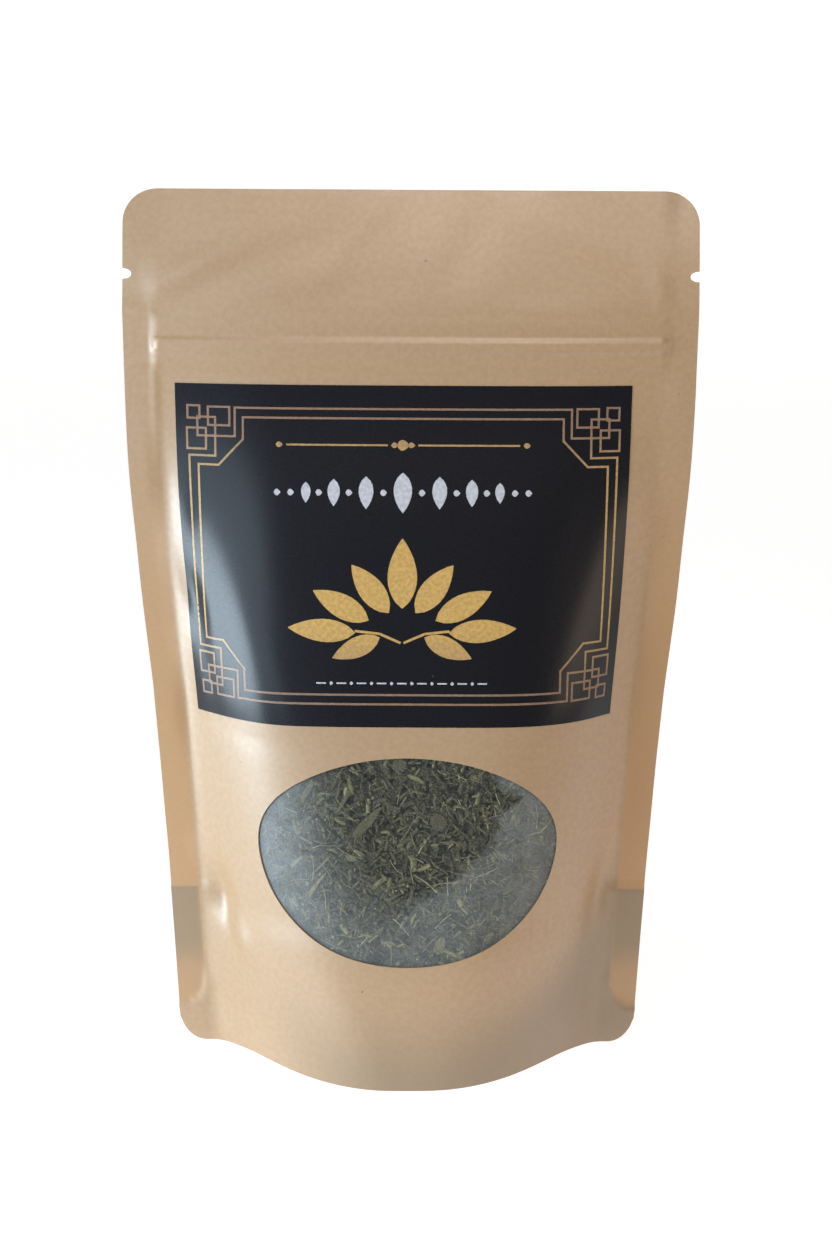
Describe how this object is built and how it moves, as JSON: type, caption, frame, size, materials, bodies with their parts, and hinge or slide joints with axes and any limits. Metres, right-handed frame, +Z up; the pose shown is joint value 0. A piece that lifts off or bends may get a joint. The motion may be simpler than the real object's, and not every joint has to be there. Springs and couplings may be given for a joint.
{
  "type": "stand-up pouch of dried herb",
  "caption": "Kraft paper stand-up pouch with a zip, tear notches, an oval window and a label, filled with crumbled dried lemon balm leaf.",
  "frame": {"origin": "on the surface the pouch stands on, midway between its front and back panels and its sides", "axes": "+X across the pouch to the right as seen from the front, -Y out of the front with the label and the window, +Z up to the sealed top edge"},
  "size_m": [0.127, 0.0548, 0.2008],
  "materials": {
    "kraft_paper": "satin",
    "window_film": "satin",
    "label_paper": "satin",
    "zip_plastic": "satin",
    "dried_leaf": "matte"
  },
  "bodies": {
    "root": {"front_panel": "kraft_paper", "back_panel": "kraft_paper", "bottom_gusset": "kraft_paper", "window_film": "window_film", "label": "label_paper", "zip_rib": "zip_plastic", "zip_groove": "zip_plastic", "dried_leaf": "dried_leaf"}
  },
  "joints": []
}
